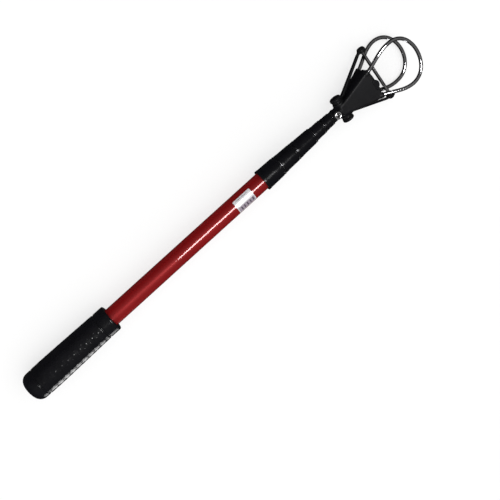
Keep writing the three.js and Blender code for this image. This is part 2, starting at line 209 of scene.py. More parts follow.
def swept(name, path, radius, sides=28):
    """A round wire along a path, with rounded ends."""
    path = np.asarray(path, float)
    tangents = np.gradient(path, axis=0)
    tangents /= np.linalg.norm(tangents, axis=1)[:, None]
    normal = np.cross(tangents[0], (0, 0, 1.0))
    angles = np.arange(sides) * 2 * math.pi / sides
    last = len(path) - 1
    end_sizes = (1.0, 0.94, 0.75, 0.35)
    rings = []
    for i, (point, tangent) in enumerate(zip(path, tangents)):
        normal = normal - (normal @ tangent) * tangent
        normal /= np.linalg.norm(normal)
        other = np.cross(tangent, normal)
        circle = np.outer(np.cos(angles), normal) + np.outer(np.sin(angles), other)
        sizes = {0: end_sizes[::-1], last: end_sizes}.get(i, (1.0,))
        for size in sizes:
            outward = radius * 0.4 * (1 - size) * (-1 if i == 0 else 1)
            rings.append(point + tangent * outward + radius * size * circle)
    points = np.concatenate(rings)
    faces = []
    for i in range(len(rings) - 1):
        for j in range(sides):
            k = (j + 1) % sides
            faces.append((i * sides + j, i * sides + k, (i + 1) * sides + k, (i + 1) * sides + j))
    faces.append(tuple(range(sides))[::-1])
    faces.append(tuple(range((len(rings) - 1) * sides, len(rings) * sides)))
    return mesh_object(name, points, faces)


# ---------- solids described by a distance ----------
def rod(p, a, b, radius, edge=0.0):
    """Distance to a cylinder between two points, with rounded rims."""
    a, b = np.array(a, float), np.array(b, float)
    length = np.linalg.norm(b - a)
    axis = (b - a) / length
    along = (p - a) @ axis
    across = np.linalg.norm(p - a - along[:, None] * axis, axis=1) - (radius - edge)
    beyond = np.abs(along - length / 2) - (length / 2 - edge)
    outside = np.hypot(np.maximum(across, 0), np.maximum(beyond, 0))
    return np.minimum(np.maximum(across, beyond), 0) + outside - edge


def block(p, centre, half, edge=0.0):
    """Distance to a box with rounded edges, from its centre and its half sizes."""
    away = np.abs(p - np.array(centre, float)) - (np.array(half, float) - edge)
    return np.minimum(away.max(1), 0) + np.linalg.norm(np.maximum(away, 0), axis=1) - edge


def slab(p, a, b, thick, high_a, high_b, edge):
    """A flat strip in the XY plane from a to b, whose height along Z changes from one end to the other."""
    a, b = np.array(a, float), np.array(b, float)
    length = np.linalg.norm(b - a)
    along = (p[:, :2] - a) @ ((b - a) / length)
    across = (p[:, :2] - a) @ (np.array([a[1] - b[1], b[0] - a[0]]) / length)
    half = (high_a + (high_b - high_a) * np.clip(along / length, 0, 1)) / 2
    away = np.column_stack([np.abs(along - length / 2) - length / 2, np.abs(across) - thick / 2,
                            np.abs(p[:, 2]) - half]) + edge
    return np.minimum(away.max(1), 0) + np.linalg.norm(np.maximum(away, 0), axis=1) - edge


def join(a, b, blend):
    """Both solids, with a fillet where they meet."""
    near = np.maximum(blend - np.abs(a - b), 0) / blend
    return np.minimum(a, b) - near * near * blend / 4


def meet(a, b, blend):
    """What both solids share, with its new edges rounded."""
    return -join(-a, -b, blend)


def skin(name, field, low, high, cell):
    """The closed surface where field is zero, between two corners, by surface nets."""
    low, high = np.array(low, float), np.array(high, float)
    count = np.ceil((high - low) / cell).astype(int) + 1
    ticks = [low[i] + cell * np.arange(count[i]) for i in range(3)]
    grid = np.stack(np.meshgrid(*ticks, indexing="ij"), axis=-1).reshape(-1, 3)
    value = field(grid).reshape(count)
    cells = tuple(count - 1)
    total, crossings = np.zeros(cells + (3,)), np.zeros(cells)

    def corner(start):
        return value[tuple(slice(s, s + n) for s, n in zip(start, cells))]

    for axis in range(3):
        for a, b in ((0, 0), (0, 1), (1, 0), (1, 1)):
            start = [0, 0, 0]
            start[(axis + 1) % 3], start[(axis + 2) % 3] = a, b
            end = list(start)
            end[axis] = 1
            va, vb = corner(start), corner(end)
            cross = (va < 0) != (vb < 0)
            share = np.where(cross, va / np.where(cross, va - vb, 1), 0)
            for i in range(3):
                total[..., i] += cross * (start[i] + (share if i == axis else 0))
            crossings += cross
    mixed = crossings > 0
    index = np.full(cells, -1)
    index[mixed] = np.arange(mixed.sum())
    points = low + cell * (np.argwhere(mixed) + total[mixed] / crossings[mixed][:, None])
    step = cell * 0.05
    for _ in range(3):
        slope = np.column_stack([(field(points + step * e) - field(points - step * e)) / (2 * step)
                                 for e in np.eye(3)])
        move = field(points)[:, None] * slope / np.maximum((slope ** 2).sum(1), 0.05)[:, None]
        points -= np.clip(move, -cell / 2, cell / 2)
    faces = []
    for axis in range(3):
        u, w = (axis + 1) % 3, (axis + 2) % 3
        here = np.take(value, np.arange(count[axis] - 1), axis) < 0
        there = np.take(value, np.arange(1, count[axis]), axis) < 0
        where = np.argwhere(here != there)
        inner = (where > 0) & (where < count - 1)
        where = where[inner[:, u] & inner[:, w]]
        du, dw = np.eye(3, dtype=int)[u], np.eye(3, dtype=int)[w]
        quads = np.column_stack([index[tuple((where - s).T)] for s in (0 * du, du, du + dw, dw)])
        backwards = there[tuple(where.T)]
        quads[backwards] = quads[backwards][:, ::-1]
        faces.append(quads)
    return mesh_object(name, points, np.concatenate(faces), sharp_angle=48)


# ---------- materials ----------
class Finish:
    """A Principled material whose colour, roughness and bump vary over the surface."""

    def __init__(self, name, roughness, metallic=0.0, **sockets):
        self.material = bpy.data.materials.new(name)
        self.material.use_nodes = True
        self.tree = self.material.node_tree
        self.shader = self.tree.nodes["Principled BSDF"]
        self.shader.inputs["Roughness"].default_value = roughness
        self.shader.inputs["Metallic"].default_value = metallic
        for socket, value in sockets.items():
            self.shader.inputs[socket.replace("_", " ")].default_value = value
        self.height = None

    def add(self, kind, inputs=None, **settings):
        node = self.tree.nodes.new(kind)
        for key, value in settings.items():
            setattr(node, key, value)
        for key, value in (inputs or {}).items():
            if isinstance(value, bpy.types.NodeSocket):
                self.tree.links.new(value, node.inputs[key])
            else:
                node.inputs[key].default_value = value
        return node

    def noise(self, per_metre, detail=3.0, stretch=(1, 1, 1), rough=0.55):
        """Noise in the piece's own space, from 0 to 1; stretch thins it along each axis."""
        place = self.add("ShaderNodeTexCoord").outputs["Object"]
        scaled = self.add("ShaderNodeMapping", {"Vector": place, "Scale": stretch}).outputs["Vector"]
        return self.add("ShaderNodeTexNoise", {
            "Vector": scaled, "Scale": per_metre, "Detail": detail, "Roughness": rough,
        }).outputs["Fac"]

    def spread(self, value, low, high, from_low=0.3, from_high=0.7):
        return self.add("ShaderNodeMapRange", {
            "Value": value, "From Min": from_low, "From Max": from_high, "To Min": low, "To Max": high,
        }).outputs["Result"]

    def mix(self, share, first, second):
        node = self.tree.nodes.new("ShaderNodeMix")
        node.data_type = "RGBA"
        for socket, value in (("Factor_Float", share), ("A_Color", first), ("B_Color", second)):
            target = next(s for s in node.inputs if s.identifier == socket)
            if isinstance(value, bpy.types.NodeSocket):
                self.tree.links.new(value, target)
            else:
                target.default_value = value
        return next(s for s in node.outputs if s.identifier == "Result_Color")

    def maths(self, kind, *values):
        node = self.add("ShaderNodeMath", operation=kind)
        for i, value in enumerate(values):
            if isinstance(value, bpy.types.NodeSocket):
                self.tree.links.new(value, node.inputs[i])
            else:
                node.inputs[i].default_value = value
        return node.outputs[0]

    # Outward-turned rims, lightened partly as wear and partly as a painted highlight.
    def worn_and_lit_rims(self):
        return self.add("ShaderNodeAttribute", attribute_name="wear_and_highlight").outputs["Fac"]

    def color(self, value):
        self.tree.links.new(value, self.shader.inputs["Base Color"])

    def rough(self, value):
        self.tree.links.new(value, self.shader.inputs["Roughness"])

    def bump(self, value, depth_mm, strength=1.0):
        inputs = {"Height": value, "Strength": strength, "Distance": depth_mm * MM}
        if self.height is not None:
            inputs["Normal"] = self.height
        self.height = self.add("ShaderNodeBump", inputs).outputs["Normal"]
        self.tree.links.new(self.height, self.shader.inputs["Normal"])


def grey(value, tint=0.0):
    return (value, value, value * (1 + tint), 1.0)


def moulded(name, dark, light, rough, grain_mm, depth_mm, specular, wear_and_highlight_color):
    """Black moulded plastic or rubber: a fine grain, uneven gloss, and corners lightened partly as rubbing
    wear and partly as a painted highlight.
    """
    finish = Finish(name, rough, Specular_IOR_Level=specular)
    cloud = finish.noise(70, 4)
    base = finish.mix(finish.spread(cloud, 0, 1), dark, light)
    scuffs = finish.noise(900, 5, (0.25, 1, 1), 0.7)
    scuffed = finish.spread(scuffs, 0, 1, 0.62, 0.8)
    # Painted highlight mixed with rubbing wear on the outward rims, broken up by noise.
    rubbed_and_lit = finish.maths("MULTIPLY", finish.worn_and_lit_rims(), finish.spread(finish.noise(420, 3), 0.2, 0.9))
    base = finish.mix(finish.maths("MULTIPLY", scuffed, 0.35), base, wear_and_highlight_color)
    finish.color(finish.mix(rubbed_and_lit, base, wear_and_highlight_color))
    uneven = finish.spread(finish.noise(230, 4), rough - 0.06, rough + 0.08)
    finish.rough(finish.maths("ADD", uneven, finish.maths("MULTIPLY", scuffed, 0.1)))
    finish.bump(finish.noise(1000 / grain_mm, 2), depth_mm)
    finish.bump(finish.noise(120, 2), depth_mm * 4, 0.5)
    return finish.material


def metal(name, dark, light, rough, stretch, depth_mm, per_metre=900):
    """Bare or plated metal: faint drawing or polishing lines, small pits and a slightly uneven shine."""
    finish = Finish(name, rough, 1.0)
    lines = finish.noise(per_metre, 5, stretch, 0.65)
    finish.color(finish.mix(finish.spread(finish.noise(180, 3), 0, 1), dark, light))
    finish.rough(finish.spread(lines, rough * 0.7, rough * 1.5))
    finish.bump(lines, depth_mm)
    return finish.material


def red_lacquer():
    """Glossy lacquer over a dark red with fine metallic flakes."""
    finish = Finish("red_lacquer", 0.42, 0.2, Specular_IOR_Level=0.1,
                    Coat_Weight=1.0, Coat_Roughness=0.05, Coat_IOR=1.33)
    flakes = finish.noise(5200, 2, rough=0.6)
    drift = finish.noise(45, 3, (0.3, 1, 1))
    base = finish.mix(finish.spread(drift, 0, 1), (0.19, 0.002, 0.003, 1), (0.24, 0.003, 0.004, 1))
    finish.color(finish.mix(finish.spread(flakes, 0, 0.5, 0.55, 0.75), base, (0.36, 0.012, 0.012, 1)))
    lines = finish.noise(700, 4, (0.03, 1, 1), 0.7)
    finish.rough(finish.spread(lines, 0.36, 0.48))
    finish.bump(flakes, 0.004)
    finish.bump(finish.noise(260, 2), 0.01, 0.4)
    return finish.material


def nylon():
    """Off-white moulded nylon of the bushes inside the tubes."""
    finish = Finish("nylon", 0.5, Subsurface_Weight=0.15, Subsurface_Radius=(0.002, 0.002, 0.0016))
    cloud = finish.noise(150, 4)
    finish.color(finish.mix(finish.spread(cloud, 0, 1), (0.74, 0.72, 0.66, 1), (0.83, 0.82, 0.77, 1)))
    finish.rough(finish.spread(finish.noise(400, 3), 0.42, 0.58))
    finish.bump(finish.noise(1600, 3), 0.03)
    return finish.material


def printed_label():
    """Silver-white film with a plain printed layout: thin rules, a clear band and a tinted panel of bars."""
    finish = Finish("printed_label", 0.3, 0.25, Coat_Weight=0.4, Coat_Roughness=0.12)
    uv = finish.add("ShaderNodeUVMap", uv_map="label").outputs["UV"]
    split = finish.add("ShaderNodeSeparateXYZ", {"Vector": uv})
    along, across = split.outputs["X"], split.outputs["Y"]

    def between(value, low, high):
        above = finish.maths("GREATER_THAN", value, low)
        return finish.maths("MULTIPLY", above, finish.maths("LESS_THAN", value, high))

    def bars(value, repeats, share):
        place = finish.maths("FRACT", finish.maths("MULTIPLY", value, repeats))
        return finish.maths("LESS_THAN", place, share)

    film = finish.mix(finish.spread(finish.noise(300, 3), 0, 1), (0.72, 0.73, 0.75, 1), (0.84, 0.84, 0.86, 1))
    panel = finish.maths("MULTIPLY", between(across, 0.04, 0.44), between(along, 0.04, 0.96))
    tinted = finish.mix(finish.maths("MULTIPLY", panel, 0.9), film, (0.36, 0.29, 0.36, 1))
    blocks = finish.maths("MULTIPLY", bars(along, 6.0, 0.42), between(across, 0.1, 0.38))
    blocks = finish.maths("MULTIPLY", blocks, between(along, 0.08, 0.93))
    tinted = finish.mix(finish.maths("MULTIPLY", blocks, 0.9), tinted, (0.07, 0.06, 0.08, 1))
    rule = finish.maths("MULTIPLY", between(across, 0.86, 0.91), bars(along, 11.0, 0.72))
    rule = finish.maths("MULTIPLY", rule, between(along, 0.12, 0.85))
    finish.color(finish.mix(finish.maths("MULTIPLY", rule, 0.8), tinted, (0.1, 0.1, 0.12, 1)))
    finish.rough(finish.spread(finish.noise(500, 4), 0.24, 0.38))
    finish.bump(finish.noise(350, 3), 0.015)
    return finish.material


# The last colour of each lightens the outward rims, partly as wear and partly as a painted highlight.
RUBBER = moulded("grip_rubber", grey(0.004, 0.3), grey(0.006, 0.3), 0.18, 0.5, 0.006, 0.2, grey(0.02))
GLOSS = moulded("gloss_plastic", grey(0.003, 0.35), grey(0.005, 0.35), 0.2, 0.9, 0.006, 0.12, grey(0.02))
SATIN = moulded("satin_plastic", grey(0.003, 0.35), grey(0.005, 0.35), 0.4, 0.45, 0.02, 0.1, grey(0.025))
RED = red_lacquer()
STEEL = metal("drawn_steel", grey(0.5, 0.04), grey(0.62, 0.04), 0.26, (0.02, 1, 1), 0.004)
CHROME = metal("chrome_plate", grey(0.36, 0.03), grey(0.46, 0.03), 0.08, (1, 1, 1), 0.002, 500)
NICKEL = metal("nickel_plate", grey(0.6, 0.0), grey(0.72, 0.0), 0.16, (1, 1, 1), 0.004, 800)
NYLON = nylon()
LABEL = printed_label()


def stand_in(piece, node, material, wear_and_highlight=0.0):
    """piece is shown in place of a CAD node and moves with its body; the last argument lightens its outer
    edges, partly as rubbing wear and partly as a painted highlight.
    """
    piece.data.materials.clear()
    piece.data.materials.append(material)
    mark_edges(piece, wear_and_highlight)
    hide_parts(node)
    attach(piece, body_of[node])
    return piece


# ---------- handle ----------
def build_grip():
    """The moulded grip: a rounded butt, plain bands at both ends, and rows of small raised dots."""
    length, butt, mouth = box_mm("grip")[1][0], GRIP_BUTT, GRIP_MOUTH
    bore = box_mm("tube_1")[1][1] + FIT
    seat = box_mm("butt_plug")[1][1] + FIT
    edge, wall = GRIP_EDGE, 4.2
    dots_from, dots_to = 14.6, length - 13.6
    grooves, groove_depth, groove_half = (13.9, length - 12.9), 0.7, 0.75
    taper_length = length - 12 - GRIP_SWELL_X
    turn = np.linspace(-math.pi / 2, 0, 16)
    start = [(edge + edge * math.sin(a), butt - edge + edge * math.cos(a)) for a in turn]
    body = []
    for x in np.concatenate([np.linspace(edge + 1, dots_from, 22), np.arange(dots_from, dots_to, 0.36),
                             np.linspace(dots_to, length - 2.2, 26)]):
        if x < GRIP_SWELL_X:
            radius = GRIP_SWELL - (GRIP_SWELL - butt) * ((GRIP_SWELL_X - x) / (GRIP_SWELL_X - edge)) ** 2
        else:
            radius = GRIP_SWELL - (GRIP_SWELL - mouth) * ((x - GRIP_SWELL_X) / taper_length) ** 1.2
            radius = max(radius, mouth)
        for groove in grooves:
            radius -= groove_depth * math.exp(-((x - groove) / groove_half) ** 4)
        body.append((x, radius))
    lip = [(length - 1.6, mouth, 0.0), (length - 0.8, mouth - 0.12), (length - 0.3, mouth - 0.5),
           (length, mouth - 1.2), (length, bore + 1.0), (length - 0.3, bore + 0.4), (length - 1, bore)]
    inside = [(wall, bore), (wall, 4.4), (2.4, 4.4), (2.4, seat)]
    line = np.array([p[:2] for p in [(0, seat)] + start + body + lip + inside])
    sides = 320
    angles = np.arange(sides) * 2 * math.pi / sides
    rows, pitch, dot, rise = 14, 7.8, 1.15, 0.13
    first_dot, plain = dots_from + 3.2, 1.2
    x, radius = np.repeat(line[:, 0], sides), np.repeat(line[:, 1], sides)
    angle = np.tile(angles, len(line))
    lane = angle / (2 * math.pi) * rows * 2
    for shift in (0, 1):
        near = np.round((lane - shift) / 2) * 2 + shift
        across = (lane - near) / (rows * 2) * 2 * math.pi * radius
        origin = first_dot + shift * pitch / 2
        number = np.round((x - origin) / pitch)
        centre_x = origin + number * pitch
        away = np.hypot(across, (x - centre_x) * 0.85) / dot
        dotted = (centre_x > dots_from + plain) & (centre_x < dots_to - plain)
        outside = (radius > bore + 2) & (x > edge)
        bump = rise * np.sqrt(np.clip(1 - away ** 2, 0, 1))
        radius = radius + np.where(dotted & outside & (away < 1), bump, 0)
    points = np.column_stack([x, radius * np.cos(angle), radius * np.sin(angle)])
    count = len(line)
    ring, step = np.meshgrid(np.arange(count), np.arange(sides), indexing="ij")
    after, beside = (ring + 1) % count, (step + 1) % sides
    faces = np.stack([ring * sides + step, ring * sides + beside, after * sides + beside,
                      after * sides + step], -1).reshape(-1, 4)
    piece = mesh_object("moulded_grip", points, faces[:, ::-1], sharp_angle=60)
    return stand_in(piece, "grip", RUBBER, 0.25)


def build_plug():
    """The plug that closes the butt: a disc with a shallow dish, and a stem inside the grip."""
    radius = box_mm("butt_plug")[1][1]
    profile = [(0.5, 0), (0.5, radius - 3.6), (0, radius - 2.6, 0.6), (0, radius, 0.5), (2.1, radius, 0.3),
               (2.1, 4.1), (9.4, 4.1, 0.6), (10, 2.6), (10, 0)]
    piece = turned("end_plug", profile, 72)
    return stand_in(piece, "butt_plug", GLOSS, 0.6)


def build_tube(index):
    """One tube, with its ends broken; only the outermost is lacquered."""
    node = f"tube_{index + 1}"
    low, high = box_mm(node)
    outer, bore = high[1], BORES[index] / 2
    profile = [(low[0], bore, 0.15), (low[0], outer, 0.25), (high[0], outer, 0.25), (high[0], bore, 0.15)]
    line = profile[:2] + [(x, outer) for x in np.linspace(low[0] + 2, high[0] - 2, 24)] + profile[2:]
    piece = turned(f"smooth_{node}", line, 96, hollow=True)
    if index == 0:
        return stand_in(piece, node, RED, 0.0)
    return stand_in(piece, node, STEEL, 0.0)


def build_collar(index):
    """A collar tapers towards the head: a low rim at its rear, a rounded front edge."""
    node = f"collar_{index + 1}"
    low, high = box_mm(node)
    length, rear, front = high[0] - low[0], high[1], COLLAR_FRONTS[index] / 2
    tube_end, tube_radius, _ = box_mm(f"tube_{index + 1}")[1]
    seat = tube_radius + SLIDE
    lip = box_mm(f"tube_{index + 2}")[1][1] + SLIDE + 0.1
    stop = tube_end + FIT

    def taper(x):
        return rear + (front - rear) * x / length

    start, end = low[0], high[0]
    rim, middle, groove = 2.9, length * 0.55, length - 2.9
    profile = [
        (start, seat, 0.2), (start, rear - 0.05, 0.3), (start + rim, taper(rim), 0.5),
        (start + rim + 0.5, taper(rim + 0.5) - 0.2, 0.3), (start + middle, taper(middle) - 0.1),
        (start + groove, taper(groove), 0.3), (end - 2.5, front - 0.3, 0.2), (end - 2.0, front - 0.3, 0.2),
        (end - 1.6, front, 0.3), (end, front - 0.05, 0.7), (end, lip, 0.25), (stop, lip), (stop, seat),
    ]
    piece = turned(f"moulded_{node}", profile, 112, hollow=True)
    return stand_in(piece, node, GLOSS, 0.5)


def build_label():
    """A thin film wrapped on the tube's upper side, with rounded corners."""
    low, high = box_mm("label")
    inner, outer = high[2] - LABEL_THICK, high[2]
    half_length, half_arc = (high[0] - low[0]) / 2, LABEL_SPAN / 2 * outer
    corner, columns, rows = 0.6, 60, 48
    centre = (low[0] + high[0]) / 2
    points, uvs = [], []
    for level in (outer, inner):
        for i in range(columns + 1):
            u = -1 + 2 * i / columns
            x = u * half_length
            into = max(0.0, abs(x) - (half_length - corner))
            arc = half_arc - (corner - math.sqrt(max(0.0, corner ** 2 - into ** 2)))
            for j in range(rows + 1):
                v = -1 + 2 * j / rows
                angle = v * arc / outer
                points.append((centre + x, level * math.sin(angle), level * math.cos(angle)))
                uvs.append(((u + 1) / 2, (v * arc / half_arc + 1) / 2))
    layer = (columns + 1) * (rows + 1)
    faces = []
    for i in range(columns):
        for j in range(rows):
            a = i * (rows + 1) + j
            b = a + rows + 1
            faces.append((a, a + 1, b + 1, b))
            faces.append((layer + a, layer + b, layer + b + 1, layer + a + 1))
    rim = [(i * (rows + 1), (i + 1) * (rows + 1)) for i in range(columns)]
    rim += [((i + 1) * (rows + 1) + rows, i * (rows + 1) + rows) for i in range(columns)]
    rim += [(j + 1, j) for j in range(rows)]
    rim += [(columns * (rows + 1) + j, columns * (rows + 1) + j + 1) for j in range(rows)]
    faces += [(a, b, layer + b, layer + a) for a, b in rim]
    piece = mesh_object("wrapped_label", points, faces)
    face_out(piece)
    layer_uv = piece.data.uv_layers.new(name="label")
    for loop in piece.data.loops:
        layer_uv.data[loop.index].uv = uvs[loop.vertex_index]
    return stand_in(piece, "label", LABEL, 0.0)


# ---------- head ----------
LEG_WAY = (LEG_HANDLE - LEG_START) / np.linalg.norm(LEG_HANDLE - LEG_START)


def loop_path():
    """Centre line of the upper loop, from one leg round its tip to the other."""
    def bezier(a, b, c, d, steps):
        t = np.linspace(0, 1, steps)[:, None]
        return (1 - t) ** 3 * a + 3 * (1 - t) ** 2 * t * b + 3 * (1 - t) * t ** 2 * c + t ** 3 * d

    def face(ahead, y, z):
        return np.array([FACE_X + ahead, y, z])

    side, tip = face(SIDE_AHEAD, LOOP_HALF_WIDTH, SIDE_Z), face(LOOP_REACH, 0, TIP_Z)
    first = bezier(LEG_START, LEG_HANDLE, side - (SIDE_BACK, 0, SIDE_DOWN), side, 40)
    second = bezier(side, side + (SIDE_ON, 0, 0), tip + (0, TIP_HANDLE, 0), tip, 40)
    foot = LEG_START - LEG_WAY * LEG_DEPTH
    leg = foot + np.linspace(0, 1, 8)[:-1, None] * (LEG_START - foot)
    half = np.concatenate([leg, first, second[1:]])
    return np.concatenate([half, half[:-1][::-1] * (1, -1, 1)])


def build_loop(node, side):
    """One of the two wire loops; side is 1 above the axis and -1 below it."""
    path = loop_path() * (1, 1, side)
    return stand_in(swept(f"wire_{node}", path, WIRE / 2), node, CHROME, 0.0)


def head_field(p):
    """The moulded head: a wedge, its neck and boss, round tabs over the plate, and a cuff round each leg."""
    q = np.column_stack([p[:, 0], np.abs(p[:, 1]), np.abs(p[:, 2])])
    x, y, z = q.T
    run, length = x - WEDGE_FROM, FACE_X - WEDGE_FROM
    wide = (WEDGE_FACE[0] - WEDGE_START[0]) / length
    tall = (WEDGE_FACE[1] - WEDGE_START[1]) / length
    side = (y - WEDGE_START[0] - wide * run) / math.hypot(1, wide)
    top = (z - WEDGE_START[1] - tall * run) / math.hypot(1, tall)
    wedge = meet(side, top, 2.0)
    wedge = meet(meet(wedge, x - FACE_X, 1.0), WEDGE_FROM - x, 1.5)
    neck = rod(q, (NECK_FROM, 0, 0), (PIVOT_X, 0, 0), NECK_RADIUS, 0.5)
    pads = rod(q, (RIVET_X, 0, 0), (RIVET_X, 0, PAD_HEIGHT), 4.6, 0.5)
    boss = rod(q, (PIVOT_X, 0, 0), (PIVOT_X, BOSS_HALF, 0), BOSS_RADIUS, 0.6)
    body = join(join(join(wedge, boss, 2.0), neck, 1.5), pads, 1.0)
    tab = rod(q, (TAB_X, 0, 8.0), (TAB_X, 0, WEDGE_FACE[1] + 0.5), TAB_RADIUS, 0.7)
    tab = meet(tab, (FACE_X - x + (10.9 - z)) * 0.7071, 0.3)
    body = join(body, tab, 0.8)
    cuff = rod(q, LEG_START - LEG_WAY * 3, LEG_START + LEG_WAY * 1.6, 2.95, 0.5)
    body = join(body, cuff, 0.8)
    holes = [
        rod(q, LEG_START - LEG_WAY * (LEG_DEPTH + FIT), LEG_START + LEG_WAY * 6, WIRE / 2 + 0.15),
        rod(q, (NECK_FROM - 3, 0, 0), (box_mm("tube_6")[1][0] + FIT, 0, 0), NECK_BORE),
        rod(q, (RIVET_X, 0, 2), (RIVET_X, 0, PAD_HEIGHT + 3), 2.65),
        rod(q, (PIVOT_X, -20, 0), (PIVOT_X, 20, 0), PIN_RADIUS + FIT),
        rod(q, (FACE_X - 13, 0, 0), (FACE_X + 4, 0, 0), 2.2),
    ]
    for hole in holes:
        body = meet(body, -hole, 0.3)
    return body


def plate_field(p):
    """The clamp plate: an oblong with cut corners, a hole for its screw and a shallow seat round it."""
    low, high = box_mm("front_plate")
    x, y, z = p[:, 0], np.abs(p[:, 1]), np.abs(p[:, 2])
    corner = (y + z - (high[1] + high[2] - 6.3)) / math.sqrt(2)
    outline = meet(meet(y - high[1], z - high[2], 0.6), corner, 1.2)
    middle, half = (low[0] + high[0]) / 2, (high[0] - low[0]) / 2
    plate = meet(outline, np.abs(x - middle) - half, 1.0)
    sunk = rod(p, (high[0] - 0.35, 0, 0), (high[0] + 3, 0, 0), 6.2, 0.2)
    plate = meet(plate, -sunk, 0.4)
    return meet(plate, -rod(p, (low[0] - 2, 0, 0), (high[0] + 2, 0, 0), 2.3), 0.3)


def screw_field(p):
    """A pan head screw with a cross recess."""
    low, high = box_mm("plate_screw")
    radius, crown, under, top = 4.6, 8.6, high[0] - 2.8, high[0]
    head = rod(p, (under, 0, 0), (top, 0, 0), radius, 1.25)
    dome = np.linalg.norm(p - np.array([top - crown, 0, 0]), axis=1) - crown
    head = meet(head, dome, 0.4)
    shank = rod(p, (low[0], 0, 0), (under + 0.5, 0, 0), 1.9, 0.6)
    screw = join(head, shank, 0.3)
    for half in ((1.7, 2.3, 0.42), (1.7, 0.42, 2.3)):
        arm = block(p, (top, 0, 0), half, 0.15)
        screw = meet(screw, -arm, 0.2)
    core = rod(p, (top - 1.9, 0, 0), (top + 1, 0, 0), 0.95, 0.2)
    return meet(screw, -core, 0.3)


def knob_field(p):
    """Half of the pivot: a round cap with a raised rim, a sunk middle and a driver slot."""
    floor = KNOB_FROM + KNOB_THICK - 0.7
    cap = rod(p, (0, KNOB_FROM, 0), (0, KNOB_FROM + KNOB_THICK, 0), BOSS_RADIUS, 0.85)
    cap = meet(cap, -rod(p, (0, floor, 0), (0, KNOB_FROM + 8, 0), 3.9, 0.3), 0.5)
    cap = meet(cap, -block(p, (0, floor, 0), (2.7, 0.7, 0.6), 0.2), 0.25)
    return meet(cap, -rod(p, (0, KNOB_FROM - 3, 0), (0, KNOB_FROM + 1.9, 0), PIN_RADIUS + 0.2), 0.2)


def build_head():
    """The head's moulding, its clamp plate and screw, and the two knobs on the pivot pin."""
    low, high = box_mm("head_body")
    body = skin("moulded_head", head_field, low - 1.2, high + (2.2, 0, 0) + 1.2, 0.42)
    stand_in(body, "head_body", SATIN, 1.1)
    low, high = box_mm("front_plate")
    plate = skin("clamp_plate", plate_field, low - 0.8, high + 0.8, 0.36)
    stand_in(plate, "front_plate", SATIN, 1.0)
    low, high = box_mm("plate_screw")
    screw = skin("cross_screw", screw_field, low - 0.5, high + 0.5, 0.17)
    stand_in(screw, "plate_screw", NICKEL, 0.0)
    low, high = (-7, KNOB_FROM - 0.7, -7), (7, KNOB_FROM + KNOB_THICK + 0.7, 7)
    for node, angle in (("knob_left", 0), ("knob_right", math.pi)):
        knob = skin(f"cap_{node}", knob_field, low, high, 0.26)
        turn = Matrix.Rotation(angle, 4, "Z")
        knob.data.transform(Matrix.Translation((PIVOT_X * MM, 0, 0)) @ turn)
        stand_in(knob, node, SATIN, 0.8)


def build_rivet():
    """The neck's rivet: a low dome below, and above it an eyelet with a rolled rim and a dark bore."""
    under = PAD_HEIGHT + SLIDE
    quarter = np.linspace(0, math.pi / 2, 14)
    dome = [(under + 1.95 * math.sin(a), 3.9 * math.cos(a)) for a in quarter]
    profile = [(-5, 0), (-5, 1.1), (-4.6, 1.5, 0.2), (under, 1.5), (under, 3.8, 0.1)] + dome[1:]
    rivet = turned("domed_rivet", profile, 64, axis="Z", at=(RIVET_X, 0, 0), flip=True)
    stand_in(rivet, "neck_rivet", NICKEL, 0.0)
    roll = np.linspace(-0.3, math.pi + 0.25, 16)
    rim = [(under + 0.62 + 0.6 * math.sin(a), 2.95 + 0.95 * math.cos(a)) for a in roll]
    profile = [(3.8, 1.9), (3.8, 2.4), (under, 2.4), (under, 3.7)] + rim + [(under - 0.4, 1.9)]
    eyelet = turned("rolled_eyelet", profile, 64, hollow=True, axis="Z", at=(RIVET_X, 0, 0))
    stand_in(eyelet, "neck_eyelet", NICKEL, 0.0)


# ---------- gate ----------
GATE_PLACE = Matrix.Translation((PIVOT_X * MM, 0, 0)) @ Matrix.Rotation(GATE_REST, 4, "Y")
KNEE = (BOSS_RADIUS + 2, HUB_FROM + HUB_THICK / 2)
ELBOW = (GATE_LENGTH - 6, 28.7)


def arm_field(p, left):
    """An arm from its hub on the pin to the eye on the bar; the right eye sits in a square clip."""
    middle = HUB_FROM + HUB_THICK / 2
    arm = rod(p, (0, HUB_FROM, 0), (0, HUB_FROM + HUB_THICK, 0), 5.6, 0.55)
    arm = join(arm, slab(p, (3.4, middle), KNEE, HUB_THICK, 5.6, 4.8, 0.5), 0.8)
    arm = join(arm, slab(p, KNEE, ELBOW, 2.3, 4.8, 3.8, 0.55), 0.6)
    arm = join(arm, slab(p, ELBOW, (GATE_LENGTH - 2.4, 29.3), 2.3, 3.8, 3.6, 0.55), 0.6)
    if left:
        arm = join(arm, rod(p, (GATE_LENGTH, EYE_LEFT, 0), (GATE_LENGTH, EYE_OUT, 0), 4.6, 1.0), 1.0)
    else:
        arm = join(arm, rod(p, (GATE_LENGTH, EYE_RIGHT, 0), (GATE_LENGTH, EYE_OUT, 0), 3.4, 0.5), 0.5)
        arm = join(arm, block(p, (GATE_LENGTH - 0.2, 29.3, 0), (3.7, 1.9, 3.3), 0.6), 0.5)
    arm = meet(arm, -rod(p, (0, 0, 0), (0, 40, 0), PIN_RADIUS + 0.2), 0.3)
    return meet(arm, -rod(p, (GATE_LENGTH, 0, 0), (GATE_LENGTH, 40, 0), BAR / 2 + 0.2), 0.3)


